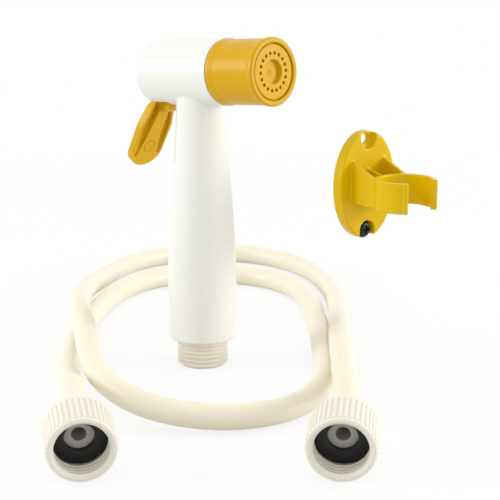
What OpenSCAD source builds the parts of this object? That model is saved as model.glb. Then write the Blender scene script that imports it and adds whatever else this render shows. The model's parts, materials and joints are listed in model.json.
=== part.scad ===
// Hand-held water sprayer set: a lever handset, its hose with two union nuts, and a wall bracket.
// Origin: centre of the handset's inlet face, which stands on the floor.
// +Z runs up the handle, +X is the way the water leaves. All sizes in millimetres.

/* [Head] */
// Outer diameter of the head barrel
head_d = 26.6; // [26:0.2:30]
// Height of the head's axis above the inlet face
head_z = 122; // [112:1:135]
// How far the head's front is tipped up, in degrees
head_tilt = 4.3; // [0:0.1:6]
// From the handle's axis to the closed back of the head
head_back = 24.4; // [24.2:0.2:28]
// From the handle's axis to the mouth of the head, where the nozzle starts
head_front = 15; // [15:0.5:20]
// Bore of the head, which holds the valve
bore_d = 21.2; // [20.6:0.2:22]
// Rounding of the head's back edge
head_edge = 1.2; // [0.4:0.2:2]

/* [Handle] */
// Outer diameter of the handle at its foot
handle_foot_d = 28.3; // [27:0.1:31]
// Outer diameter of the handle where it meets the head
handle_neck_d = 19.8; // [18.5:0.1:20.4]
// Height where the handle stops being straight and starts to taper
taper_start = 36; // [28:1:50]
// Wall of the handle
handle_wall = 2.4; // [2:0.1:3]
// Rounding of the handle's bottom edge
foot_edge = 0.9; // [0.3:0.1:1.4]

/* [Inlet thread] */
// Major diameter of the G 1/2 thread
thread_d = 20.955; // [20.8:0.005:21.1]
// Thread pitch
thread_pitch = 1.814; // [1.6:0.002:1.9]
// Length of the threaded neck below the handle
thread_len = 11.8; // [10.8:0.2:13]
// Bore of the threaded neck
inlet_bore_d = 13; // [11:0.5:14]
// Depth of that bore
inlet_bore_depth = 10; // [9:0.2:10.8]
// Water way from that bore up into the handle
inlet_channel_d = 7.8; // [7:0.2:9]
// Length of the spigot that holds the neck in the handle
spigot_len = 12; // [10:0.5:14]

/* [Nozzle] */
// Length of the nozzle in front of the head
nozzle_len = 25; // [22:0.5:30]
// Diameter of the nozzle at its waist
nozzle_waist_d = 25.8; // [25.2:0.1:26.4]
// Length of the rim at the nozzle's front
rim_len = 2.2; // [1.4:0.2:3.4]
// Outer diameter of the perforated face inside the rim
face_d = 21.3; // [20.6:0.1:21.6]
// Thickness of the perforated face
face_t = 3.2; // [2.8:0.1:3.8]
// How far the face lies behind the rim
face_recess = 0.5; // [0.2:0.1:1]
// Number of spray holes
spray_holes = 18; // [12:1:22]
// Diameter of the circle of spray holes
spray_circle_d = 14.4; // [13.4:0.1:16]
// Diameter of one spray hole
spray_hole_d = 1.4; // [1:0.1:1.6]
// Diameter of the dish in the middle of the face
dish_d = 9.6; // [8:0.2:10.4]
// Depth of the dish
dish_depth = 1.8; // [1:0.1:2]

/* [Lever] */
// Height of the head's axis above the lever's pivot
pivot_drop = 7; // [6.6:0.1:7.2]
// Angle of the lever's arm from the head's upright when it is let go
lever_lean = 32.5; // [30:0.5:36]
// Length of the arm below the pivot
lever_len = 38.4; // [36:0.2:41]
// Width of the paddle at its shoulder
lever_w = 17.4; // [16.4:0.2:18.4]
// Width of the neck that swings in the head's slot
lever_neck_w = 12.6; // [12:0.2:13.2]
// Thickness of the paddle
lever_t = 2.9; // [2.7:0.1:3.6]
// Width of the rim round the paddle's grooves
lever_rim = 1.15; // [0.9:0.05:1.5]
// Thickness of the fork that pulls the stem
fork_t = 2.2; // [1.8:0.1:2.4]
// Diameter of the pivot pin
pin_d = 2.5; // [2:0.1:2.8]

/* [Valve] */
// Diameter of the valve stem
stem_d = 4; // [3.6:0.1:4.2]
// Water way through the seat
orifice_d = 7.6; // [7:0.1:8]
// Diameter of the rubber disc
disc_d = 11.6; // [11:0.1:12.4]
// Thickness of the rubber disc
disc_t = 2.4; // [2:0.1:2.6]
// Wire of the valve spring
spring_wire = 0.9; // [0.7:0.1:1]
// Turns of the valve spring
spring_turns = 5; // [4:1:6]
// Thickness of the small sealing rings
o_ring_t = 1.4; // [1.2:0.1:1.6]

/* [Hose] */
// Outer diameter of the hose
hose_d = 9.6; // [9.2:0.1:9.8]
// Bore of the hose
hose_bore_d = 7; // [6.4:0.1:7.2]
// Turn of the hose's lay about the vertical
lay_turn = 43; // [40:1:46]

/* [Union nuts] */
// Diameter over the knurl
nut_d = 24.4; // [24:0.1:25.5]
// Length of the knurled part
knurl_len = 15.4; // [14.4:0.2:16.4]
// Number of ribs in the knurl
knurl_ribs = 40; // [24:1:48]
// Length of the smooth collar behind the knurl
collar_len = 10.6; // [9:0.2:12]
// Diameter of the smooth collar where it meets the knurl
collar_d = 20.2; // [19:0.2:21.4]
// Bore of the rubber washer
washer_bore_d = 10.6; // [9:0.1:11.4]
// Thickness of the rubber washer
washer_t = 2.4; // [1.8:0.1:2.8]
// How far the nuts dip to the floor where their mouths rest, in degrees
nut_dip = 9; // [6:0.5:12]

/* [Bracket] */
// Turn of the bracket about the vertical, away from the handset's own direction, in degrees
bracket_turn = -8; // [-12:1:0]
// Height of the oval plate
plate_h = 44.4; // [42:0.2:50]
// Width of the oval plate
plate_w = 30.2; // [28:0.2:34]
// Thickness of the plate
plate_t = 5; // [4.4:0.1:6]
// Distance between the two screw holes
hole_span = 37.6; // [36:0.2:38.4]
// Diameter of the screw holes
screw_hole_d = 4.4; // [4.2:0.1:4.8]
// Diameter of the seat that the screw head sinks into
screw_seat_d = 8; // [7.6:0.1:8.6]
// Depth of the screw seats
screw_seat_depth = 2.8; // [2.4:0.1:3.2]
// Inner diameter of the clip that grips the handle's neck
clip_bore_d = 20.4; // [20:0.1:21.4]
// Wall of the clip
clip_wall = 2.2; // [1.8:0.1:2.8]
// Height of the clip
clip_h = 12.2; // [10:0.2:14]
// Width of the clip's mouth
clip_mouth = 14.2; // [13:0.2:15.4]
// Length of the hollow arm between plate and clip
arm_len = 8.8; // [7:0.2:11]
// Width over the hollow arm
arm_w = 18.8; // [18:0.2:22]
// Height of the hollow arm where it meets the plate
arm_h = 17.4; // [15:0.2:20]
// Height of its middle rib where it meets the plate
rib_h = 13.4; // [12.6:0.2:14.6]
// Wall of the hollow arm
arm_wall = 1.6; // [1.2:0.1:2]

/* [Hidden] */

$fn = 64;
// Overlap of a cutter with the face that it opens
eps = 0.01;
// Radial play of parts that turn or slide in one another
running = 0.05;
// Radial play of parts that are pressed or glued together
fit = 0.03;
// Gap between parts that must not touch
gap = 0.3;

white = [0.95, 0.95, 0.93];
yellow = [0.93, 0.74, 0.05];
cream = [0.95, 0.92, 0.82];
black = [0.08, 0.08, 0.08];
steel = [0.72, 0.73, 0.75];

// Head and valve stations along X, counted from the handle's axis
head_r = head_d / 2;
bore_r = bore_d / 2;
rear_r = bore_r - 0.6;
plug_t = 1.8;
plug_r = bore_r;
port_r = handle_neck_d / 2 - handle_wall;
gland_front = -port_r - 1.3;
gland_len = 4.6;
gland_back = gland_front - gland_len;
pivot_x = gland_back - fork_t / 2 - 3;
pivot_z = head_z - pivot_drop;
plug_inner = plug_t - head_back;
lever_travel = 16;
stroke = pivot_drop * lever_travel * PI / 180;
stem_nut_t = 1.5;
stem_nut_front = pivot_x - fork_t / 2 - 0.2;
stem_nut_back = stem_nut_front - stem_nut_t;
o_ring_w = 1.3;
groove_r = bore_r - o_ring_w;
seat_lip = 0.6;
seat_ring_t = 2.2;
seat_nose = port_r - 0.9;
seat_back = seat_nose + seat_lip;
seat_front = seat_back + seat_ring_t;
disc_back = seat_nose - disc_t;
flange_t = 1.2;
flange_d = disc_d - 1.6;
spring_front = disc_back - flange_t;
spring_washer_t = 0.8;
spring_back = gland_front + spring_washer_t;
spring_mean_d = stem_d + 4.4;
thread_r = thread_d / 2;
thread_depth = 1.16;

// Screw thread between head and nozzle
mouth_pitch = 1.2;
mouth_crest_r = bore_r + 0.2;
mouth_root_r = bore_r + 0.8;
mouth_len = head_front - seat_front - 2;
mouth_turns = floor(mouth_len / mouth_pitch + 0.01);

// Union nuts, counted from the mouth back along the hose's end
nut_thread_len = 9;
washer_back = nut_thread_len + washer_t;
insert_flange_t = 1.8;
hose_end = washer_back + insert_flange_t;
nut_len = knurl_len + collar_len;
lip_r = nut_d / 2 - 0.25;
lip_edge = 0.4;
lip_len = 1.2;
// Each nut rests on its lip's edge or on the front of its knurl, whichever is lower
nut_z = max(lip_r * cos(nut_dip) - lip_edge * sin(nut_dip),
    nut_d / 2 * cos(nut_dip) - lip_len * sin(nut_dip));

// Where the bracket hangs: the centre of its plate's back face
bracket_at = [45.6, 46.3, 76.1];
clip_r = clip_bore_d / 2;
clip_outer_r = clip_r + clip_wall;
clip_x = plate_t + arm_len + clip_outer_r;
arm_bottom = -6.6;

// Each nut: centre of its mouth across and behind the handset, and its turn towards the middle
left_nut_at = [-35.5, -134, 12];
right_nut_at = [49.8, -134, -7];

// The hose's centreline as it lies: across, behind the handset, and lift off the floor
hose_r = hose_d / 2;
hose_route = [
    [-43.1, -95, 12.5], [-44.6, -84, 11.9], [-46.2, -72, 9.3], [-47.9, -60, 4.9], [-49.9, -48, 1.5],
    [-52.1, -34, 0], [-54.4, -16, 0], [-55.1, 6, 0], [-54.6, 28, 0], [-52, 60, 0], [-46, 96, 0],
    [-31, 126, 0], [0, 138, 0], [31, 126, 0], [46.5, 97, 0], [49.5, 62, 0], [50.5, 26, 0],
    [50.9, -10, 0], [49.6, -42, 0], [39.2, -71.6, 0], [12, -87.3, 0.5], [-19, -81.8, 3],
    [-37.7, -61.4, 8], [-43.5, -38, 11], [-47.5, -14, 11.8], [-51.5, 10, 11.5], [-55.6, 34, 10.6],
    [-58.5, 64, 8.6], [-59, 94, 3], [-55, 124, 0], [-46, 154, 0], [-27, 176, 0], [0, 184, 0],
    [27, 176, 0], [47, 153, 0], [57, 122, 0], [61, 90, 0], [60.4, 58, 2], [59, 26, 6.8], [56.9, -8, 8],
    [56.5, -28, 8.2], [56, -46, 8.2], [55.7, -60, 8.3], [55.3, -72, 9.7], [54.8, -84, 11.9],
    [54.1, -95, 12.5]
];

// ---------------------------------------------------------------- helpers

// Tips the head, and all that is built in line with it, about the handle's axis
module tip_head() {
    translate([0, 0, head_z]) rotate([0, -head_tilt, 0]) translate([0, 0, -head_z]) children();
}

// Lays children along +X from their own +Z, on the head's axis
module on_head(x) {
    tip_head() translate([x, 0, head_z]) rotate([0, 90, 0]) children();
}

// A plain tube standing on z = 0
module tube(outer_d, inner_d, length) {
    difference() {
        cylinder(d = outer_d, h = length);
        translate([0, 0, -eps]) cylinder(d = inner_d, h = length + 2 * eps);
    }
}

// A ring of round section about z
module o_ring(outer_r, t) {
    rotate_extrude() translate([outer_r - t / 2, 0]) circle(d = t, $fn = 24);
}

// Side of a thread as [r, z] points from z = 0 up: rings with flat crests and roots
function thread_points(crest_r, root_r, pitch, turns, start) = [
    for (i = [0 : turns - 1], p = [[crest_r, 0], [crest_r, 0.24], [root_r, 0.5], [root_r, 0.74]])
        [p[0], start + (i + p[1]) * pitch]
];

// ------------------------------------------------------- curves and sweeps

function unit(v) = v / norm(v);

// Point at fraction t of the stretch of a cubic B-spline that points b and c steer
function spline_point(a, b, c, d, t) = (pow(1 - t, 3) * a + (3 * t * t * t - 6 * t * t + 4) * b
    + (1 + 3 * t + 3 * t * t - 3 * t * t * t) * c + t * t * t * d) / 6;

// A smooth curve from the first point to the last, steered by those between, with steps points a stretch
function smooth_path(points, steps) =
    let (n = len(points), last = 2 * points[n - 1] - points[n - 2],
         all = concat([2 * points[0] - points[1]], points, [last]))
    [for (i = [0 : n - 2], k = [0 : steps - 1])
        spline_point(all[i], all[i + 1], all[i + 2], all[i + 3], k / steps),
     points[n - 1]];

function path_direction(path, i) =
    let (n = len(path)) unit(path[min(i + 1, n - 1)] - path[max(i - 1, 0)]);

// One ring of a swept tube: sides points round the path's point i, with its side vector kept level
function sweep_ring(path, i, r, sides, up) =
    let (along = path_direction(path, i), side = unit(cross(up, along)), top = cross(along, side))
    [for (k = [0 : sides - 1]) path[i] + r * (cos(360 * k / sides) * side + sin(360 * k / sides) * top)];

// Faces between ring a and ring b, whose first points are numbers a and b
function band(a, b, sides) = [
    for (k = [0 : sides - 1], half = [0, 1]) let (m = (k + 1) % sides)
        half == 0 ? [a + k, b + k, b + m] : [a + k, b + m, a + m]
];

// A solid rod swept along a path
module swept_rod(path, r, sides, up = [0, 0, 1]) {
    n = len(path);
    points = [for (i = [0 : n - 1]) each sweep_ring(path, i, r, sides, up)];
    polyhedron(points, concat(
        [for (i = [0 : n - 2]) each band(i * sides, (i + 1) * sides, sides)],
        [[for (k = [0 : sides - 1]) k]],
        [[for (k = [sides - 1 : -1 : 0]) (n - 1) * sides + k]]
    ), convexity = 10);
}

// A pipe swept along a path, open at both ends
module swept_pipe(path, outer_r, inner_r, sides) {
    n = len(path);
    up = [0, 0, 1];
    outer = [for (i = [0 : n - 1]) each sweep_ring(path, i, outer_r, sides, up)];
    inner = [for (i = [0 : n - 1]) each sweep_ring(path, i, inner_r, sides, up)];
    m = n * sides;
    polyhedron(concat(outer, inner), concat(
        [for (i = [0 : n - 2]) each band(i * sides, (i + 1) * sides, sides)],
        [for (i = [0 : n - 2]) each band(m + (i + 1) * sides, m + i * sides, sides)],
        band(m, 0, sides),
        band((n - 1) * sides, m + (n - 1) * sides, sides)
    ), convexity = 10);
}

// Coordinates of the hose's lay [across, behind, lift] to the part's own
function lay(p) = let (c = cos(lay_turn), s = sin(lay_turn))
    [c * p[0] - s * p[1], s * p[0] + c * p[1], hose_r + max(p[2], 0)];

// ---------------------------------------------------------------- handset

// Handle diameter at height z: straight foot, then a long soft taper that ends inside the head
function handle_d(z) =
    let (t = min(max((z - taper_start) / (head_z - 4 - taper_start), 0), 1))
    handle_foot_d + (handle_neck_d - handle_foot_d) * t * t * (3 - 2 * t);

handle_steps = 16;
handle_heights = [for (i = [0 : handle_steps]) taper_start + (head_z - taper_start) * i / handle_steps];

module handle_solid() {
    edge = [for (a = [0 : 15 : 90])
        [handle_foot_d / 2 - foot_edge * (1 - sin(a)), thread_len + foot_edge * (1 - cos(a))]];
    rotate_extrude() polygon(concat(
        [[0, thread_len]], edge, [for (z = handle_heights) [handle_d(z) / 2, z]], [[0, head_z]]));
}

module handle_bore() {
    rotate_extrude() polygon(concat(
        [[0, thread_len - eps], [handle_foot_d / 2 - handle_wall, thread_len - eps]],
        [for (z = handle_heights) [handle_d(z) / 2 - handle_wall, z]], [[0, head_z]]));
}

module head_solid() {
    edge = [for (a = [0 : 15 : 90]) [head_r - head_edge * (1 - sin(a)), head_edge * (1 - cos(a))]];
    on_head(-head_back) rotate_extrude() polygon(concat(
        [[0, 0]], edge, [[head_r, head_back + head_front], [0, head_back + head_front]]));
}

// Everything that is open inside the head: plug seat, lever cavity, valve bore and threaded mouth
module head_bore() {
    thread_start = head_front - mouth_turns * mouth_pitch;
    on_head(0) rotate_extrude() polygon(concat(
        [[0, -head_back - eps], [plug_r, -head_back - eps], [plug_r, plug_inner],
         [rear_r, plug_inner], [rear_r, gland_back], [bore_r, gland_back], [bore_r, thread_start]],
        thread_points(mouth_crest_r, mouth_root_r, mouth_pitch, mouth_turns, thread_start),
        [[mouth_crest_r, head_front + eps], [0, head_front + eps]]));
}

// Slot in the head's underside that the lever swings in, open to the back
barrel_r = pin_d / 2 + 1.7;
barrel_w = lever_neck_w;
slot_w = barrel_w + 2 * gap;
slot_front = pivot_x + barrel_r + 2 * gap;

module lever_slot() {
    tip_head() translate([-head_back - eps, -slot_w / 2, head_z - head_r - 1])
        cube([slot_front + head_back + eps, slot_w, head_r - pivot_drop + 1]);
}

pin_len = 19.2;

// The pin's seats are open to the back, so that lever and pin go in together
module pin_seats() {
    seat_d = pin_d + 2 * running;
    tip_head() {
        translate([pivot_x, 0, pivot_z]) rotate([90, 0, 0])
            cylinder(d = seat_d, h = pin_len + 0.2, center = true);
        translate([-head_back - eps, -pin_len / 2 - 0.1, pivot_z - seat_d / 2])
            cube([pivot_x + head_back + eps, pin_len + 0.2, seat_d]);
    }
}

module body_shell() {
    color(white) difference() {
        union() {
            head_solid();
            handle_solid();
        }
        handle_bore();
        head_bore();
        lever_slot();
        pin_seats();
    }
}

// The plug's two tongues fill the open seats up to the pin
module plug_tongue(side) {
    inner = slot_w / 2 + 0.1;
    tongue_w = pin_len / 2 - inner;
    tip_head() translate([-head_back, side * (inner + tongue_w / 2) - tongue_w / 2, pivot_z - pin_d / 2])
        cube([pivot_x - pin_d / 2 - 0.1 + head_back, tongue_w, pin_d]);
}

module rear_plug() {
    color(white) {
        difference() {
            on_head(-head_back) cylinder(r = plug_r - fit, h = plug_t);
            on_head(plug_inner - 0.6) cylinder(d = 10, h = 1);
        }
        for (side = [-1, 1])
            plug_tongue(side);
    }
}

sleeve_seam = 0.25;
face_seat_r = face_d / 2 + 0.55;
face_back = nozzle_len - face_recess - face_t;
sleeve_bore_r = bore_r - 1.2;
spigot_r = bore_r - 0.1;
spigot_bore_r = bore_r - 2.4;

// Half section of the nozzle sleeve as [r, x], with x = 0 at the head's mouth
module nozzle_section() {
    thread_start = -mouth_turns * mouth_pitch;
    groove = seat_front - head_front + 0.5;
    rim_back = nozzle_len - rim_len;
    polygon(concat(
        [[spigot_bore_r, seat_front - head_front], [spigot_r, seat_front - head_front],
         [spigot_r, groove], [groove_r, groove], [groove_r, groove + o_ring_w], [spigot_r, groove + o_ring_w],
         [spigot_r, thread_start]],
        thread_points(mouth_crest_r - 0.1, mouth_root_r - 0.1, mouth_pitch, mouth_turns, thread_start),
        [[mouth_crest_r - 0.1, sleeve_seam], [head_r - 0.3, sleeve_seam], [head_r, sleeve_seam + 0.3],
         [head_r, 1.6], [nozzle_waist_d / 2, 4], [nozzle_waist_d / 2, rim_back - 0.9],
         [head_r - 0.2, rim_back], [head_r, rim_back + 0.3],
         [head_r, nozzle_len - 0.5], [head_r - 0.5, nozzle_len],
         [face_seat_r + 0.3, nozzle_len], [face_seat_r, nozzle_len - 0.3],
         [face_seat_r, face_back], [sleeve_bore_r, face_back], [sleeve_bore_r, 1.4], [spigot_bore_r, 1.4]]));
}

module nozzle_sleeve() {
    color(yellow) on_head(head_front) rotate_extrude() nozzle_section();
}

module spray_face() {
    foot_t = 2.4;
    foot_r = face_seat_r - fit;
    color(yellow) on_head(head_front + face_back) difference() {
        rotate_extrude() polygon([
            [0, 0.6], [spray_circle_d / 2 - 1.6, 0.6], [spray_circle_d / 2 - 1.2, 1.6],
            [spray_circle_d / 2 + 1.2, 1.6], [spray_circle_d / 2 + 1.2, 0], [foot_r, 0],
            [foot_r, foot_t], [face_d / 2, foot_t], [face_d / 2, face_t - 0.25], [face_d / 2 - 0.25, face_t],
            [dish_d / 2, face_t], [dish_d / 2 - 0.3, face_t - dish_depth],
            [1.2, face_t - dish_depth], [1.1, face_t - dish_depth + 0.2],
            [0.5, face_t - dish_depth + 0.2], [0.3, face_t - dish_depth], [0, face_t - dish_depth]]);
        for (i = [0 : spray_holes - 1])
            rotate([0, 0, 360 * (i + 0.5) / spray_holes]) translate([spray_circle_d / 2, 0, -eps])
                cylinder(d = spray_hole_d, h = face_t + 1, $fn = 24);
    }
}

// Foot of the handset: threaded neck with a plain spigot that is welded into the handle
module inlet_connector() {
    turns = 5;
    thread_start = 1.2;
    neck_r = thread_r - thread_depth;
    spigot_wall_r = handle_foot_d / 2 - handle_wall - fit;
    spigot_top = thread_len + spigot_len;
    channel_r = inlet_channel_d / 2;
    color(cream) rotate_extrude() polygon(concat(
        [[inlet_bore_d / 2, 0], [neck_r - 0.3, 0], [neck_r, 0.3]],
        thread_points(thread_r, neck_r, thread_pitch, turns, thread_start),
        [[neck_r, thread_len], [spigot_wall_r, thread_len], [spigot_wall_r, spigot_top],
         [channel_r + 2, spigot_top], [channel_r, spigot_top - 3],
         [channel_r, inlet_bore_depth], [inlet_bore_d / 2, inlet_bore_depth]]));
}

// ---------------------------------------------------------------- lever

// Lever frame: origin at the pivot, y down the arm, x towards the handle, z across
module in_lever_frame() {
    translate([pivot_x, 0, pivot_z]) rotate([0, lever_lean, 0]) rotate([-90, 0, 0]) children();
}

paddle_front = -0.5;
paddle_back = paddle_front - lever_t;
tip_len = 7.4;
tip_start = lever_len - tip_len;
tip_half_w = lever_w / 2 - 0.23;
neck_half_w = barrel_w / 2;
shoulder_gain = lever_w / 2 - neck_half_w;

// Half the paddle's width at distance a down the arm: a neck, a shoulder and an oval tip
function paddle_half_w(a) = a < tip_start
    ? lookup(a, [[0, neck_half_w], [7, neck_half_w], [10, neck_half_w + 0.12 * shoulder_gain],
        [13, neck_half_w + 0.38 * shoulder_gain], [16, neck_half_w + 0.73 * shoulder_gain],
        [18.5, neck_half_w + 0.96 * shoulder_gain], [20.5, lever_w / 2], [26, lever_w / 2 - 0.15],
        [tip_start, tip_half_w]])
    : tip_half_w * sqrt(max(0, 1 - pow((a - tip_start) / tip_len, 2)));

// Half the width of the block between the grooves
function block_half_w(a) = lookup(a, [[4, 2.8], [10, 2.8], [17, 3.2], [26, 3.9], [31, 4.9], [33, 5.8]]);

arm_stations = [0, 7, 10, 13, 16, 18.5, 20.5, 26];
groove_start = 5.6;
groove_end = tip_start + 2.2;

// Turns a flat outline with y down the arm and x across into a body through the paddle
module across_paddle(from, to) {
    translate([from, 0, 0]) rotate([0, 90, 0]) linear_extrude(to - from) children();
}

module paddle_plate() {
    side = concat([for (a = arm_stations) [paddle_half_w(a), a]],
        [for (u = [0 : 10 : 80]) [tip_half_w * cos(u), tip_start + tip_len * sin(u)]]);
    last = len(side) - 1;
    intersection() {
        across_paddle(paddle_back - 1, paddle_front) polygon(concat(
            side, [[0, lever_len]], [for (i = [last : -1 : 0]) [-side[i][0], side[i][1]]]));
        translate([0, 0, -lever_w]) linear_extrude(2 * lever_w) polygon([
            [0, -0.4], [paddle_front + 1, 4], [paddle_front + 1, lever_len + 1], [paddle_back, lever_len + 1],
            [paddle_back, 22], [paddle_back - 0.5, 12], [paddle_back - 0.2, 9], [-1.9, 5.6], [-2.2, 0]]);
    }
}

// The block between the grooves stands proud at the top and runs out flush with the rim
module paddle_block() {
    stations = [4, 10, 17, 26, 31, 33];
    intersection() {
        across_paddle(paddle_back + 1, paddle_front + 2) polygon(concat(
            [for (a = stations) [block_half_w(a), a]],
            [for (i = [5 : -1 : 0]) [-block_half_w(stations[i]), stations[i]]]));
        translate([0, 0, -lever_w]) linear_extrude(2 * lever_w) polygon([
            [paddle_front - 0.6, 3], [paddle_front + 0.9, 3], [paddle_front + 0.8, 10],
            [paddle_front + 0.55, 17], [paddle_front + 0.12, 26], [paddle_front - 0.6, 30.5]]);
    }
}

// The two tapering grooves in the side that faces the handle, shallower towards the tip
module paddle_grooves() {
    outer = [for (a = [groove_start, 10, 13, 16, 18.5, 20.5, 26, tip_start, groove_end])
        [paddle_half_w(a) - lever_rim, a]];
    inner = [for (a = [groove_end, 31, 26, 17, 10, groove_start]) [block_half_w(a), a]];
    intersection() {
        for (side = [-1, 1])
            across_paddle(paddle_back, paddle_front + 2)
                polygon([for (p = concat(outer, inner)) [side * p[0], p[1]]]);
        translate([0, 0, -lever_w]) linear_extrude(2 * lever_w) polygon([
            [paddle_front - 2.4, 3], [paddle_front - 2.4, 10], [paddle_front - 1.8, 17],
            [paddle_front - 1.3, 26], [paddle_front - 0.8, 31], [paddle_front - 0.5, groove_end + 0.1],
            [paddle_front + 3, groove_end + 0.1], [paddle_front + 3, 3]]);
    }
}

// Round boss below the head, where the block meets the barrel
module paddle_boss() {
    translate([1.4, 6, -2.8]) cylinder(r = 3.4, h = 5.6);
}

module lever() {
    color(yellow) tip_head() difference() {
        union() {
            in_lever_frame() {
                difference() {
                    paddle_plate();
                    paddle_grooves();
                }
                paddle_block();
                paddle_boss();
            }
            translate([pivot_x, 0, pivot_z]) rotate([90, 0, 0])
                cylinder(r = barrel_r, h = barrel_w, center = true);
            fork_blank();
        }
        in_lever_frame() ejector_ring();
        fork_gap();
        translate([pivot_x, 0, pivot_z]) rotate([90, 0, 0])
            cylinder(d = pin_d + 2 * running, h = lever_w + 2, center = true);
    }
}

// Shallow witness ring that the mould's ejector leaves on the paddle
module ejector_ring() {
    translate([paddle_front - 0.25, lever_len - 9.6, 0]) rotate([0, 90, 0]) tube(6, 5.2, 2);
}

// The fork leans back as it pulls, so its tip is cut away behind
module fork_blank() {
    top = pivot_drop + stem_d / 2 + 1.2;
    translate([pivot_x, barrel_w / 2, pivot_z]) rotate([90, 0, 0]) linear_extrude(barrel_w) polygon([
        [-fork_t / 2, 0], [fork_t / 2, 0], [fork_t / 2, top], [1 - fork_t / 2, top],
        [-fork_t / 2, pivot_drop + 0.3]]);
}

module fork_gap() {
    play = 0.35;
    translate([pivot_x - fork_t, -stem_d / 2 - play, pivot_z + pivot_drop - stem_d / 2 - play])
        cube([2 * fork_t, stem_d + 2 * play, 20]);
}

module lever_pin() {
    color(steel) tip_head() translate([pivot_x, 0, pivot_z]) rotate([90, 0, 0])
        cylinder(d = pin_d, h = pin_len, center = true);
}

// ---------------------------------------------------------------- valve

module valve_stem() {
    color("goldenrod") {
        on_head(stem_nut_back) cylinder(d = stem_d, h = disc_back - stem_nut_back);
        on_head(spring_front) cylinder(d = flange_d, h = flange_t);
        on_head(disc_back - eps) cylinder(d = stem_d - 1, h = disc_t + 1.6 + eps);
    }
}

module stem_nut() {
    color(steel) on_head(stem_nut_back) tube(stem_d + 3.2, stem_d, stem_nut_t);
}

module seal_disc() {
    color(black) on_head(disc_back) tube(disc_d, stem_d - 1, disc_t);
}

module disc_cap() {
    color("goldenrod") on_head(seat_nose) tube(orifice_d - 1.6, stem_d - 1, 1.6);
}

module valve_spring() {
    steps = 12;
    mean_r = spring_mean_d / 2;
    rise = (spring_front - spring_back - spring_wire) / spring_turns;
    path = [for (i = [0 : steps * spring_turns])
        let (a = 360 * i / steps) [mean_r * cos(a), mean_r * sin(a), spring_wire / 2 + rise * i / steps]];
    color(steel) on_head(spring_back) swept_rod(path, spring_wire / 2, 6);
}

module spring_washer() {
    color(steel) on_head(gland_front) tube(spring_mean_d + spring_wire + 1, stem_d + 0.6, spring_washer_t);
}

module gland() {
    groove_x = gland_len / 2 - o_ring_w / 2;
    pocket_r = stem_d / 2 + o_ring_t;
    color(cream) on_head(gland_back) rotate_extrude() polygon([
        [stem_d / 2 + running, 0], [bore_r - 0.1, 0], [bore_r - 0.1, groove_x], [groove_r, groove_x],
        [groove_r, groove_x + o_ring_w], [bore_r - 0.1, groove_x + o_ring_w], [bore_r - 0.1, gland_len],
        [pocket_r, gland_len], [pocket_r, gland_len - o_ring_t],
        [stem_d / 2 + running, gland_len - o_ring_t]]);
}

module gland_o_ring() {
    color(black) on_head(gland_back + gland_len / 2) o_ring(bore_r - 0.02, o_ring_w - 0.1);
}

module stem_o_ring() {
    color(black) on_head(gland_front - o_ring_t / 2) o_ring(stem_d / 2 + o_ring_t, o_ring_t - running);
}

module seat_ring() {
    groove_x = seat_lip + seat_ring_t / 2 - o_ring_w / 2;
    color(cream) on_head(seat_nose) rotate_extrude() polygon([
        [orifice_d / 2, 0], [orifice_d / 2 + 0.8, 0], [orifice_d / 2 + 1.2, seat_lip],
        [bore_r - 0.1, seat_lip], [bore_r - 0.1, groove_x],
        [groove_r, groove_x], [groove_r, groove_x + o_ring_w],
        [bore_r - 0.1, groove_x + o_ring_w], [bore_r - 0.1, seat_lip + seat_ring_t],
        [orifice_d / 2, seat_lip + seat_ring_t]]);
}

module seat_o_ring() {
    color(black) on_head(seat_back + seat_ring_t / 2) o_ring(bore_r - 0.02, o_ring_w - 0.1);
}

module nozzle_o_ring() {
    color(black) on_head(seat_front + 0.5 + o_ring_w / 2) o_ring(bore_r - 0.02, o_ring_w - 0.1);
}

// ---------------------------------------------------------------- hose and nuts

// Puts children at a nut: z runs from the mouth back along the hose's end
module at_nut(at) {
    rotate([0, 0, lay_turn]) translate([at[0], at[1], nut_z])
        rotate([0, 0, at[2]]) rotate([nut_dip - 90, 0, 0]) children();
}

// The point on a nut's axis that lies back behind its mouth, as the hose's route gives points
function behind_nut(at, back) = let (level = back * cos(nut_dip))
    [at[0] - level * sin(at[2]), at[1] + level * cos(at[2]), nut_z + back * sin(nut_dip) - hose_r];

// The hose's ends run straight through the collars
end_stations = [hose_end, hose_end + 7, hose_end + 14];
hose_path = [for (p = smooth_path(concat(
    [for (back = end_stations) behind_nut(left_nut_at, back)],
    hose_route,
    [for (i = [2 : -1 : 0]) behind_nut(right_nut_at, end_stations[i])]), 2)) lay(p)];

module hose() {
    color(cream) swept_pipe(hose_path, hose_r, hose_bore_d / 2, 12);
}

// Flanged tail: the flange traps the nut, the barbs grip the hose
module insert_tail() {
    tail_bore_r = hose_bore_d / 2 - 0.9;
    tail_r = hose_bore_d / 2 - 0.15;
    barb_r = hose_bore_d / 2 + 0.2;
    barbs = 4;
    barb_pitch = 3.2;
    flange_r = thread_r - thread_depth - 0.6;
    rotate_extrude() polygon(concat(
        [[tail_bore_r, 0], [flange_r, 0], [flange_r, insert_flange_t], [tail_r, insert_flange_t]],
        [for (i = [0 : barbs - 1], p = [[tail_r, 0.6], [barb_r, 0.9], [tail_r, 3]])
            [p[0], insert_flange_t + p[1] + i * barb_pitch]],
        [[tail_bore_r, insert_flange_t + 0.4 + barbs * barb_pitch]]));
}

module left_insert() {
    color(cream) at_nut(left_nut_at) translate([0, 0, washer_back]) insert_tail();
}

module right_insert() {
    color(cream) at_nut(right_nut_at) translate([0, 0, washer_back]) insert_tail();
}

module washer() {
    color(black) translate([0, 0, nut_thread_len]) tube(thread_d - 1.2, washer_bore_d, washer_t - running);
}

module left_washer() {
    at_nut(left_nut_at) washer();
}

module right_washer() {
    at_nut(right_nut_at) washer();
}

// Outline of the knurl: flat ribs on a round core
knurl_core_r = nut_d / 2 - 0.5;

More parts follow.
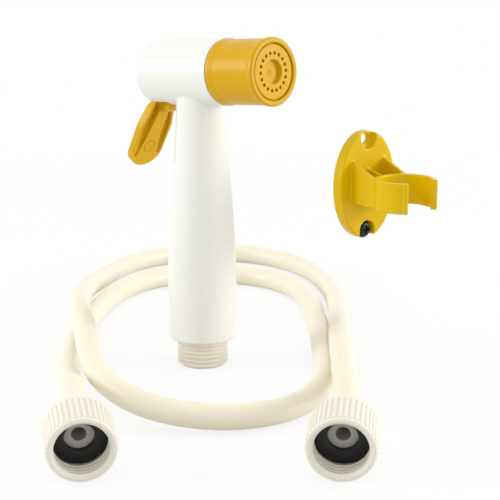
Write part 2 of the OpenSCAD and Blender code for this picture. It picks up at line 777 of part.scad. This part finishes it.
module knurl_outline() {
    rib = 360 / knurl_ribs;
    rib_profile = [[knurl_core_r, 0], [knurl_core_r, 0.36], [nut_d / 2, 0.5], [nut_d / 2, 0.86]];
    polygon([for (i = [0 : knurl_ribs - 1], p = rib_profile)
        p[0] * [cos((i + p[1]) * rib), sin((i + p[1]) * rib)]]);
}

module nut() {
    turns = 4;
    root_r = thread_r + 0.12;
    crest_r = thread_r - thread_depth + 0.12;
    cavity_len = hose_end + running;
    throat_r = hose_r + gap;
    cavity_r = root_r - 0.4;
    collar_r = collar_d / 2;
    color(cream) difference() {
        union() {
            translate([0, 0, lip_len]) linear_extrude(knurl_len - lip_len) knurl_outline();
            rotate_extrude() polygon([
                [0, 0], [lip_r - lip_edge, 0], [lip_r, lip_edge], [lip_r, lip_len + 0.3],
                [knurl_core_r - 0.3, lip_len + 0.3], [knurl_core_r - 0.3, knurl_len - 0.1],
                [collar_r, knurl_len + 0.6], [collar_r - 0.4, knurl_len + collar_len * 0.45],
                [collar_r - 1.2, knurl_len + collar_len * 0.75],
                [collar_r - 2.6, knurl_len + collar_len * 0.94],
                [collar_r - 3.4, nut_len], [0, nut_len]]);
        }
        rotate_extrude() polygon(concat(
            [[0, -eps], [root_r, -eps]],
            thread_points(crest_r, root_r, thread_pitch, turns, 1),
            [[root_r, nut_thread_len - 0.4], [root_r, nut_thread_len], [root_r, washer_back],
             [cavity_r, washer_back], [cavity_r, cavity_len], [throat_r, cavity_len],
             [throat_r, nut_len - 1], [throat_r + 0.4, nut_len + eps], [0, nut_len + eps]]));
    }
}

module left_nut() {
    at_nut(left_nut_at) nut();
}

module right_nut() {
    at_nut(right_nut_at) nut();
}

// ---------------------------------------------------------------- bracket

module oval(height, h) {
    width = height * plate_w / plate_h;
    linear_extrude(h) polygon([for (a = [0 : 6 : 354]) [height / 2 * cos(a), width / 2 * sin(a)]]);
}

// Bracket frame: x out of the wall, y across, z up, origin at the middle of the plate's back
module at_bracket() {
    translate(bracket_at) rotate([0, 0, bracket_turn]) children();
}

// The plate's front edge is rounded in steps
module plate_solid() {
    rotate([0, 90, 0])
        for (step = [[0, plate_t - 0.5], [0.3, plate_t - 0.25], [0.9, plate_t]])
            oval(plate_h - step[0], step[1]);
}

module screw_place(side) {
    translate([0, 0, side * hole_span / 2]) rotate([0, 90, 0]) children();
}

// Screw hole with a seat for the head that opens into the plate's rim
module screw_hole(side) {
    seat_r = screw_seat_d / 2;
    screw_place(side) {
        translate([0, 0, -1]) cylinder(d = screw_hole_d, h = plate_t + 2);
        translate([0, 0, plate_t - screw_seat_depth]) rotate([0, 0, side > 0 ? 180 : 0])
            linear_extrude(plate_t) polygon(concat(
                [for (a = [90 : 10 : 270]) seat_r * [cos(a), sin(a)]], [[10, -seat_r], [10, seat_r]]));
    }
}

module bracket_plate() {
    color(yellow) at_bracket() difference() {
        plate_solid();
        for (side = [-1, 1])
            screw_hole(side);
    }
}

// One upright wall of the hollow arm: it slopes from its height at the plate to that at the clip
module arm_side(plate_end_h, clip_end_h, slope_end) {
    translate([0, arm_wall / 2, arm_bottom]) rotate([90, 0, 0]) linear_extrude(arm_wall) polygon([
        [plate_t, 0], [clip_x, 0], [clip_x, clip_end_h], [slope_end, clip_end_h], [plate_t, plate_end_h]]);
}

// Two side walls and a middle rib between plate and clip, joined by a thin band behind the clip
module bracket_arm() {
    band_r = clip_outer_r + 0.8;
    side_meets_clip = clip_x - sqrt(pow(clip_outer_r, 2) - pow(arm_w / 2, 2));
    color(yellow) at_bracket() difference() {
        union() {
            for (side = [-1, 1])
                translate([0, side * (arm_w - arm_wall) / 2, 0])
                    arm_side(arm_h, clip_h - 0.1, side_meets_clip - 0.6);
            arm_side(rib_h, clip_h - 0.3, plate_t + arm_len - 0.8);
            intersection() {
                translate([clip_x, 0, arm_bottom + 0.2]) cylinder(r = band_r, h = clip_h - 0.8);
                translate([clip_x - band_r - 1, 0.3 - arm_w / 2, arm_bottom])
                    cube([band_r - 1, arm_w - 0.6, clip_h]);
            }
        }
        translate([clip_x, 0, arm_bottom - 1]) cylinder(r = clip_outer_r + fit, h = arm_h + 2);
    }
}

// The ring has beads at its lips, before the bore and the mouth are cut
clip_mouth_angle = asin(clip_mouth / 2 / (clip_r + clip_wall / 2));
far = 60;

module clip_solid() {
    cylinder(r = clip_outer_r, h = clip_h);
    for (side = [-1, 1])
        rotate([0, 0, side * (clip_mouth_angle + 5)]) translate([clip_r + clip_wall / 2, 0, 0.2])
            cylinder(d = clip_wall + 0.9, h = clip_h - 0.4);
}

module clip_opening() {
    translate([0, 0, -1]) {
        cylinder(r = clip_r, h = clip_h + 2);
        linear_extrude(clip_h + 2) polygon([[0, 0], far / 2 * [cos(clip_mouth_angle), sin(clip_mouth_angle)],
            [far, 0], far / 2 * [cos(clip_mouth_angle), -sin(clip_mouth_angle)]]);
    }
}

module clip_ring() {
    color(yellow) at_bracket() translate([clip_x, 0, arm_bottom]) difference() {
        clip_solid();
        clip_opening();
    }
}

// The shank ends flush with the plate's back
module bracket_screw() {
    head_t = 2.2;
    seat_r = screw_seat_d / 2;
    shank_r = screw_hole_d / 2 - 0.25;
    shank_len = plate_t - screw_seat_depth;
    color(black) at_bracket() screw_place(-1) translate([0, 0, plate_t - screw_seat_depth]) difference() {
        rotate_extrude() polygon([
            [0, -shank_len], [shank_r, -shank_len], [shank_r, 0],
            [seat_r - 0.4, 0], [seat_r - 0.5, 0.7], [seat_r - 1.4, head_t - 0.4], [seat_r - 2.4, head_t],
            [0, head_t]]);
        for (a = [0, 90])
            rotate([0, 0, a]) translate([-2, -0.4, head_t - 1.2]) cube([4, 0.8, 2]);
    }
}

body_shell();
rear_plug();
nozzle_sleeve();
spray_face();
inlet_connector();
lever();
lever_pin();
valve_stem();
stem_nut();
seal_disc();
disc_cap();
valve_spring();
spring_washer();
gland();
gland_o_ring();
stem_o_ring();
seat_ring();
seat_o_ring();
nozzle_o_ring();
hose();
left_insert();
right_insert();
left_nut();
right_nut();
left_washer();
right_washer();
bracket_plate();
bracket_arm();
clip_ring();
bracket_screw();
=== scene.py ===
"""Looks for the bath sprayer set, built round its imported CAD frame.

Lengths are in metres, but the hose's sizes and its lay are the part's own, in millimetres.
"""

import json
import math

import bmesh
import bpy
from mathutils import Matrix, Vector


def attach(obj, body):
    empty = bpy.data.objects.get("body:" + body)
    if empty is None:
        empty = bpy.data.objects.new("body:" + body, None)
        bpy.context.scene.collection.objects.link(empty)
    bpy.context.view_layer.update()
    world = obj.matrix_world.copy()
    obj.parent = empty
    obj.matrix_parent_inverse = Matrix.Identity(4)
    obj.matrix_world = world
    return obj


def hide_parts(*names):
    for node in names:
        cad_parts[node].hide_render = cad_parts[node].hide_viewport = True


MM = 0.001

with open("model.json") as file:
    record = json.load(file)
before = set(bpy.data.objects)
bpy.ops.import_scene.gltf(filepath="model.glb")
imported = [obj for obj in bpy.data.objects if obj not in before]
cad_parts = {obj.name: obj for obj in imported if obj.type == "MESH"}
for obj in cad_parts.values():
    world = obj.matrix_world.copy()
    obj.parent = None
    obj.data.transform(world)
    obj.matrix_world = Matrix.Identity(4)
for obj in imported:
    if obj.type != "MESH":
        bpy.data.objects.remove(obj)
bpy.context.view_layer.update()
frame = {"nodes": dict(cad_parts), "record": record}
scene = bpy.context.scene
scene.view_settings.view_transform = "Standard"

# ---------------------------------------------------------------- camera

# Turn of the view about the upright, from a look along +Y
VIEW_TURN = math.radians(43)
CAMERA_AT = (0.41344, -0.41434, 0.185)
# 90 degrees would be a level look, and less looks down
CAMERA_PITCH = math.radians(76.87)
CAMERA_ANGLE = math.radians(19.53)
CAMERA_CLIP = 0.01

# The view's level directions: out of the picture to the camera, and across it to the right
TOWARDS = Vector((math.sin(VIEW_TURN), -math.cos(VIEW_TURN), 0))
ACROSS = Vector((math.cos(VIEW_TURN), math.sin(VIEW_TURN), 0))


def add_camera():
    data = bpy.data.cameras.new("camera")
    data.angle = CAMERA_ANGLE
    data.clip_start = CAMERA_CLIP
    camera = bpy.data.objects.new("camera", data)
    camera.location = CAMERA_AT
    camera.rotation_euler = (CAMERA_PITCH, 0, VIEW_TURN)
    scene.collection.objects.link(camera)
    scene.camera = camera


add_camera()

# ---------------------------------------------------------------- node helpers


class Nodes:
    """A new material, and short ways to add nodes to it."""

    def __init__(self, name):
        self.material = bpy.data.materials.new(name)
        self.material.use_nodes = True
        self.tree = self.material.node_tree
        self.shader = self.tree.nodes["Principled BSDF"]

    def add(self, kind, **settings):
        node = self.tree.nodes.new(kind)
        for key, value in settings.items():
            setattr(node, key, value)
        return node

    def link(self, out, into):
        self.tree.links.new(out, into)

    def coords(self):
        return self.add("ShaderNodeTexCoord").outputs["Object"]

    def noise(self, scale, detail):
        node = self.add("ShaderNodeTexNoise")
        node.inputs["Scale"].default_value = scale
        node.inputs["Detail"].default_value = detail
        self.link(self.coords(), node.inputs["Vector"])
        return node.outputs["Fac"]

    def ramp(self, fac, *stops):
        """A ramp between two stops, each of them a place with its colour or plain value."""
        node = self.add("ShaderNodeValToRGB")
        for element, (place, value) in zip(node.color_ramp.elements, stops):
            element.position = place
            element.color = value if isinstance(value, tuple) else (value, value, value, 1)
        self.link(fac, node.inputs["Fac"])
        return node.outputs["Color"]

    def scaled(self, value, factor, plus=None):
        """The value times the factor, and plus another value if there is one."""
        node = self.add("ShaderNodeMath", operation="MULTIPLY_ADD")
        self.link(value, node.inputs[0])
        node.inputs[1].default_value = factor
        node.inputs[2].default_value = 0
        if plus is not None:
            self.link(plus, node.inputs[2])
        return node.outputs[0]

    def bump(self, height, strength, distance, below=None):
        """A normal with the height on it, over the normal below if there is one."""
        node = self.add("ShaderNodeBump")
        node.inputs["Strength"].default_value = strength
        node.inputs["Distance"].default_value = distance
        self.link(height, node.inputs["Height"])
        if below is not None:
            self.link(below, node.inputs["Normal"])
        return node.outputs["Normal"]

    def mix(self, share, first, second):
        """The first shader, and the second one by its share."""
        node = self.add("ShaderNodeMixShader")
        self.link(share, node.inputs["Fac"])
        self.link(first, node.inputs[1])
        self.link(second, node.inputs[2])
        return node.outputs[0]


# ---------------------------------------------------------------- materials

# Noise scales, per metre
CLOUD_SCALE = 55
GLOSS_SCALE = 140
PEEL_SCALE = 700
METAL_GLOSS_SCALE = 400
METAL_GRAIN_SCALE = 2500

GRAIN_STRENGTH = 0.3
METAL_GRAIN = 0.00001

# Worn edges: where the rounded normal leaves the true one, as the cosine of the angle between them
WORN_FULLY = 0.8
WORN_NOT = 0.95
WORN_COLOUR = (0.6, 0.58, 0.5, 1)
WORN_PALER = 0.1
WORN_DULLER = 0.12
EDGE_SAMPLES = 8

PLASTIC_IOR = 1.5


def linear(r, g, b):
    """An sRGB colour written as 0 to 255, as linear RGBA."""

    def one(v):
        v /= 255
        return v / 12.92 if v <= 0.04045 else ((v + 0.055) / 1.055) ** 2.4

    return (one(r), one(g), one(b), 1)


def shade(colour, factor):
    return tuple(c * factor for c in colour[:3]) + (1,)


def rounded_edges(n, radius):
    """A normal that rounds off the edges by the radius, and how worn each place is."""
    rounded = n.add("ShaderNodeBevel", samples=EDGE_SAMPLES)
    rounded.inputs["Radius"].default_value = radius
    geometry = n.add("ShaderNodeNewGeometry")
    turned = n.add("ShaderNodeVectorMath", operation="DOT_PRODUCT")
    n.link(rounded.outputs["Normal"], turned.inputs[0])
    n.link(geometry.outputs["Normal"], turned.inputs[1])
    worn = n.ramp(turned.outputs["Value"], (WORN_FULLY, 1.0), (WORN_NOT, 0.0))
    return rounded.outputs["Normal"], worn


def rubbed_paler(n, colour, worn):
    rubbed = n.add("ShaderNodeMixRGB", blend_type="SCREEN")
    n.link(n.scaled(worn, WORN_PALER), rubbed.inputs["Fac"])
    n.link(colour, rubbed.inputs["Color1"])
    rubbed.inputs["Color2"].default_value = WORN_COLOUR
    return rubbed.outputs["Color"]


def plastic(name, colour, rough, spread=0.03, grain=0.00002, edge=0.00035, specular=0.5):
    """Moulded plastic: flow clouds in the colour, uneven gloss and the soft orange peel of a polished mould.
    Its edges are rounded off by the radius edge and rubbed paler and duller, unless that is 0."""
    n = Nodes(name)
    tint = n.ramp(n.noise(CLOUD_SCALE, detail=3), (0.3, shade(colour, 1 - spread)), (0.7, colour))
    gloss = n.ramp(n.noise(GLOSS_SCALE, detail=4), (0.3, rough[0]), (0.75, rough[1]))
    peel = n.noise(PEEL_SCALE, detail=2)
    normal = None
    if edge:
        normal, worn = rounded_edges(n, edge)
        tint = rubbed_paler(n, tint, worn)
        gloss = n.scaled(worn, WORN_DULLER, gloss)
    n.link(tint, n.shader.inputs["Base Color"])
    n.link(gloss, n.shader.inputs["Roughness"])
    n.link(n.bump(peel, GRAIN_STRENGTH, grain, normal), n.shader.inputs["Normal"])
    n.shader.inputs["IOR"].default_value = PLASTIC_IOR
    n.shader.inputs["Specular IOR Level"].default_value = specular
    return n.material


def scatter_light(material, weight, radius, depth):
    """Lets light a little way into the material, with a reach per colour."""
    inputs = material.node_tree.nodes["Principled BSDF"].inputs
    inputs["Subsurface Weight"].default_value = weight
    inputs["Subsurface Radius"].default_value = radius
    inputs["Subsurface Scale"].default_value = depth


def metal(name, colour, rough):
    n = Nodes(name)
    n.shader.inputs["Metallic"].default_value = 1
    n.shader.inputs["Base Color"].default_value = colour
    gloss = n.ramp(n.noise(METAL_GLOSS_SCALE, detail=4), (0.2, rough * 0.7), (0.8, rough * 1.3))
    grain = n.bump(n.noise(METAL_GRAIN_SCALE, detail=2), GRAIN_STRENGTH, METAL_GRAIN)
    n.link(gloss, n.shader.inputs["Roughness"])
    n.link(grain, n.shader.inputs["Normal"])
    return n.material


# Each plastic's roughness stays on one side of 0.27, but for its worn edges: in a denoised picture, a range
# across that value shows as hard-edged patches.
white = plastic("white_shell", linear(246, 246, 241), rough=(0.2, 0.26), spread=0.012, specular=0.35)
yellow = plastic("yellow_plastic", linear(222, 173, 0), rough=(0.28, 0.33), spread=0.04, specular=0.2)
bracket_yellow = plastic("bracket_yellow", linear(228, 190, 0), rough=(0.19, 0.26), spread=0.04, edge=0,
                         specular=0.2)
cream = plastic("cream_plastic", linear(248, 243, 228), rough=(0.3, 0.4), spread=0.02, edge=0.0002,
                specular=0.4)
hose_skin = plastic("hose_plastic", linear(250, 242, 220), rough=(0.29, 0.36), spread=0.025, grain=0.00001,
                    edge=0, specular=0.4)
scatter_light(hose_skin, weight=0.4, radius=(1, 0.8, 0.5), depth=0.0006)
insert_plastic = plastic("insert_plastic", linear(196, 192, 186), rough=(0.35, 0.5))
rubber = plastic("black_rubber", linear(24, 24, 25), rough=(0.5, 0.7), grain=0.00005)
steel = metal("steel", linear(205, 207, 210), 0.25)
brass = metal("brass", linear(212, 175, 100), 0.3)
black_steel = metal("black_steel", linear(52, 52, 55), 0.35)

SLOTS = {
    "white_shell": white, "yellow_plastic": yellow, "cream_plastic": cream, "hose_plastic": hose_skin,
    "insert_plastic": insert_plastic, "black_rubber": rubber, "steel": steel, "brass": brass,
    "black_steel": black_steel,
}

# ---------------------------------------------------------------- pieces

# Faces that meet at more than this angle keep a sharp edge between them
SHARP_EDGE = math.radians(28)


def dress(obj, material):
    obj.data.materials.clear()
    obj.data.materials.append(material)


def show_mesh(name, mesh, material):
    """A new object that shows the mesh in the material."""
    obj = bpy.data.objects.new(name, mesh)
    scene.collection.objects.link(obj)
    dress(obj, material)
    return obj


def dress_cad_nodes():
    for part in frame["record"]["subparts"]:
        obj = frame["nodes"][part["node"]]
        dress(obj, SLOTS[part["material_slot"]])
        obj.data.shade_smooth()
        smooth = obj.modifiers.new("smooth", "EDGE_SPLIT")
        smooth.split_angle = SHARP_EDGE


dress_cad_nodes()

# ---------------------------------------------------------------- bracket

BRACKET_NODES = ("bracket_plate", "bracket_arm", "clip_ring")
# Grain of the mesh that they grow together in
BRACKET_GRAIN = 0.0003
# The smoothing that rounds off its edges: how strong it is, and how often it runs
BRACKET_SOFTNESS = 0.5
BRACKET_SOFTENINGS = 10


def make_bracket():
    """The bracket's plate, arm and clip as the one moulding that they are, with its edges rounded off."""
    solids = bmesh.new()
    for node in BRACKET_NODES:
        solids.from_mesh(frame["nodes"][node].data)
    mesh = bpy.data.meshes.new("bracket_moulding")
    solids.to_mesh(mesh)
    solids.free()
    moulding = show_mesh("bracket_moulding", mesh, bracket_yellow)
    grow_together = moulding.modifiers.new("grow_together", "REMESH")
    grow_together.mode = "VOXEL"
    grow_together.voxel_size = BRACKET_GRAIN
    grow_together.use_smooth_shade = True
    round_off = moulding.modifiers.new("round_off", "SMOOTH")
    round_off.factor = BRACKET_SOFTNESS
    round_off.iterations = BRACKET_SOFTENINGS
    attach(moulding, "handset")
    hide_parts(*BRACKET_NODES)


make_bracket()

# ---------------------------------------------------------------- hose

HOSE_D = 9.6
HOSE_BORE_D = 7
NUT_D = 24.4
NUT_LIP_LEN = 1.2
NUT_DIP = math.radians(9)

# How far the hose's end lies behind the nut's mouth, and the step between the points that keep it straight
HOSE_END = 13.2
HOSE_END_STEP = 7

# Height of a nut's mouth when the front of its knurl rests on the floor
NUT_Z = NUT_D / 2 * math.cos(NUT_DIP) - NUT_LIP_LEN * math.sin(NUT_DIP)

# Each nut's mouth in the hose's lay, across and behind, and the nut's turn about the upright in degrees
LEFT_NUT_AT = (-35.5, -134, 12)
RIGHT_NUT_AT = (49.8, -134, -7)

# The hose's lay from the left nut to the right one: across, behind, and lift off the floor
HOSE_ROUTE = [
    (-43.1, -95, 12.5), (-44.6, -84, 11.9), (-46.2, -72, 9.3), (-47.9, -60, 4.9), (-49.9, -48, 1.5),
    (-52.1, -34, 0), (-54.4, -16, 0), (-55.1, 6, 0), (-54.6, 28, 0), (-52, 60, 0), (-46, 96, 0),
    (-31, 126, 0), (0, 138, 0), (31, 126, 0), (46.5, 97, 0), (49.5, 62, 0), (50.5, 26, 0),
    (50.9, -10, 0), (49.6, -42, 0), (39.2, -71.6, 0), (12, -87.3, 0.5), (-19, -81.8, 3),
    (-37.7, -61.4, 8), (-43.5, -38, 11), (-47.5, -14, 11.8), (-51.5, 10, 11.5), (-55.6, 34, 10.6),
    (-58.5, 64, 8.6), (-59, 94, 3), (-55, 124, 0), (-46, 154, 0), (-27, 176, 0), (0, 184, 0),
    (27, 176, 0), (47, 153, 0), (57, 122, 0), (61, 90, 0), (60.4, 58, 2), (59, 26, 6.8), (56.9, -8, 8),
    (56.5, -28, 8.2), (56, -46, 8.2), (55.7, -60, 8.3), (55.3, -72, 9.7), (54.8, -84, 11.9),
    (54.1, -95, 12.5),
]

SPLINE_STEPS = 10
TUBE_SIDES = 32


def behind_nut(at, back):
    """The point on a nut's axis that lies back behind its mouth, in the hose's lay."""
    turn, level = math.radians(at[2]), back * math.cos(NUT_DIP)
    return (at[0] - level * math.sin(turn), at[1] + level * math.cos(turn),
            NUT_Z + back * math.sin(NUT_DIP) - HOSE_D / 2)


def spline_path(points):
    """A cubic B-spline along the points, from the first of them to the last."""
    points = [Vector(p) for p in points]
    ends = [2 * points[0] - points[1], *points, 2 * points[-1] - points[-2]]
    path = []
    for i in range(len(points) - 1):
        span = ends[i : i + 4]
        for k in range(SPLINE_STEPS):
            t = k / SPLINE_STEPS
            weights = ((1 - t) ** 3, 3 * t**3 - 6 * t**2 + 4, 1 + 3 * t + 3 * t**2 - 3 * t**3, t**3)
            path.append(sum((w * p for w, p in zip(weights, span)), Vector()) / 6)
    path.append(points[-1])
    return path


def lay(p):
    """A point of the hose's lay, as a point of the scene."""
    level = ACROSS * p[0] - TOWARDS * p[1]
    return Vector((level.x * MM, level.y * MM, (HOSE_D / 2 + max(p[2], 0)) * MM))


def hose_path():
    stations = [HOSE_END, HOSE_END + HOSE_END_STEP, HOSE_END + 2 * HOSE_END_STEP]
    points = [behind_nut(LEFT_NUT_AT, back) for back in stations] + HOSE_ROUTE
    points += [behind_nut(RIGHT_NUT_AT, back) for back in reversed(stations)]
    return [lay(p) for p in spline_path(points)]


def tube_skin(path, radius):
    """The points of a tube's skin, ring after ring along the path."""
    points = []
    for i, p in enumerate(path):
        along = (path[min(i + 1, len(path) - 1)] - path[max(i - 1, 0)]).normalized()
        side = Vector((0, 0, 1)).cross(along).normalized()
        top = along.cross(side)
        for k in range(TUBE_SIDES):
            turn = 2 * math.pi * k / TUBE_SIDES
            points.append(p + radius * (math.cos(turn) * side + math.sin(turn) * top))
    return points


def tube_mesh(name, path, outer_r, inner_r):
    """A tube with a bore along the path, closed at each end by the ring between its two skins."""
    vertices = tube_skin(path, outer_r) + tube_skin(path, inner_r)
    faces = []

    def strip(a, b):
        """Faces between the two rings of points that start at a and at b."""
        for k in range(TUBE_SIDES):
            n = (k + 1) % TUBE_SIDES
            faces.append((a + k, a + n, b + n, b + k))

    last_ring = (len(path) - 1) * TUBE_SIDES
    bore = len(path) * TUBE_SIDES
    for ring in range(0, last_ring, TUBE_SIDES):
        strip(ring, ring + TUBE_SIDES)
        strip(bore + ring + TUBE_SIDES, bore + ring)
    strip(bore, 0)
    strip(last_ring, bore + last_ring)
    mesh = bpy.data.meshes.new(name)
    mesh.from_pydata([tuple(v) for v in vertices], [], faces)
    mesh.validate()
    mesh.shade_smooth()
    return mesh


def make_hose():
    path = hose_path()
    mesh = tube_mesh("hose_tube", path, HOSE_D / 2 * MM, HOSE_BORE_D / 2 * MM)
    hose = show_mesh("hose_tube", mesh, hose_skin)
    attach(hose, "handset")
    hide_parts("hose")


make_hose()

# ---------------------------------------------------------------- floor, world and lamps

FLOOR_HALF = 6
# The floor lies this far below the object, so that it cuts nothing that rests on it
FLOOR_DROP = 0.0003
FLOOR_COLOUR = (0.96, 0.96, 0.96, 1)
# What the floor is to the rays that only carry light to the object
FLOOR_LIT_COLOUR = (0.7, 0.7, 0.69, 1)
# Distance from the middle of the floor, and how much of it is plain glow there: less where the shadow shows
GLOW_NEAR = (0.25, 0.8)
GLOW_FAR = (0.6, 1.0)

# Strength of the world where it is seen, and where it only lights the object
WORLD_SEEN = 1.0
WORLD_LIGHT = 0.83

LAMP_AIM = Vector((0, 0, 0.07))


def seen_ray(tree):
    """1 for the rays that show the white studio itself: to the camera, and off or through the object."""
    path = tree.nodes.new("ShaderNodeLightPath")
    seen = path.outputs["Is Camera Ray"]
    for ray in ("Is Glossy Ray", "Is Transmission Ray"):
        either = tree.nodes.new("ShaderNodeMath")
        either.operation = "MAXIMUM"
        tree.links.new(seen, either.inputs[0])
        tree.links.new(path.outputs[ray], either.inputs[1])
        seen = either.outputs[0]
    return seen


def floor_material():
    n = Nodes("floor")
    n.shader.inputs["Base Color"].default_value = FLOOR_COLOUR
    n.shader.inputs["Roughness"].default_value = 0.9
    n.shader.inputs["Specular IOR Level"].default_value = 0
    glow = n.add("ShaderNodeEmission")
    dull = n.add("ShaderNodeBsdfDiffuse")
    dull.inputs["Color"].default_value = FLOOR_LIT_COLOUR
    distance = n.add("ShaderNodeVectorMath", operation="LENGTH")
    n.link(n.coords(), distance.inputs[0])
    share = n.ramp(distance.outputs["Value"], GLOW_NEAR, GLOW_FAR)
    pale = n.mix(share, n.shader.outputs[0], glow.outputs[0])
    surface = n.mix(seen_ray(n.tree), dull.outputs[0], pale)
    n.link(surface, n.tree.nodes["Material Output"].inputs["Surface"])
    # The glow shows but doesn't light the object, so it isn't sampled as a lamp
    n.material.cycles.emission_sampling = "NONE"
    return n.material


def add_floor():
    mesh = bpy.data.meshes.new("floor")
    corners = [(x * FLOOR_HALF, y * FLOOR_HALF, 0) for x, y in ((-1, -1), (1, -1), (1, 1), (-1, 1))]
    mesh.from_pydata(corners, [], [(0, 1, 2, 3)])
    floor = show_mesh("floor", mesh, floor_material())
    floor.location.z = -FLOOR_DROP


def add_world():
    world = bpy.data.worlds.new("studio")
    scene.world = world
    world.use_nodes = True
    tree = world.node_tree
    background = tree.nodes["Background"]
    background.inputs["Color"].default_value = (1, 1, 1, 1)
    strength = tree.nodes.new("ShaderNodeMapRange")
    strength.inputs["To Min"].default_value = WORLD_LIGHT
    strength.inputs["To Max"].default_value = WORLD_SEEN
    tree.links.new(seen_ray(tree), strength.inputs["Value"])
    tree.links.new(strength.outputs[0], background.inputs["Strength"])


def add_lamp(name, across, towards, height, size, watts):
    data = bpy.data.lights.new(name, "AREA")
    data.shape = "RECTANGLE"
    data.size, data.size_y = size
    data.energy = watts
    lamp = bpy.data.objects.new(name, data)
    lamp.location = ACROSS * across + TOWARDS * towards + Vector((0, 0, height))
    lamp.rotation_euler = (LAMP_AIM - lamp.location).to_track_quat("-Z", "Y").to_euler()
    scene.collection.objects.link(lamp)


add_floor()
add_world()
add_lamp("key", across=-1.25, towards=0.14, height=0.52, size=(0.45, 0.55), watts=5.8)
add_lamp("fill", across=1.25, towards=0.04, height=0.4, size=(0.4, 0.55), watts=6.6)
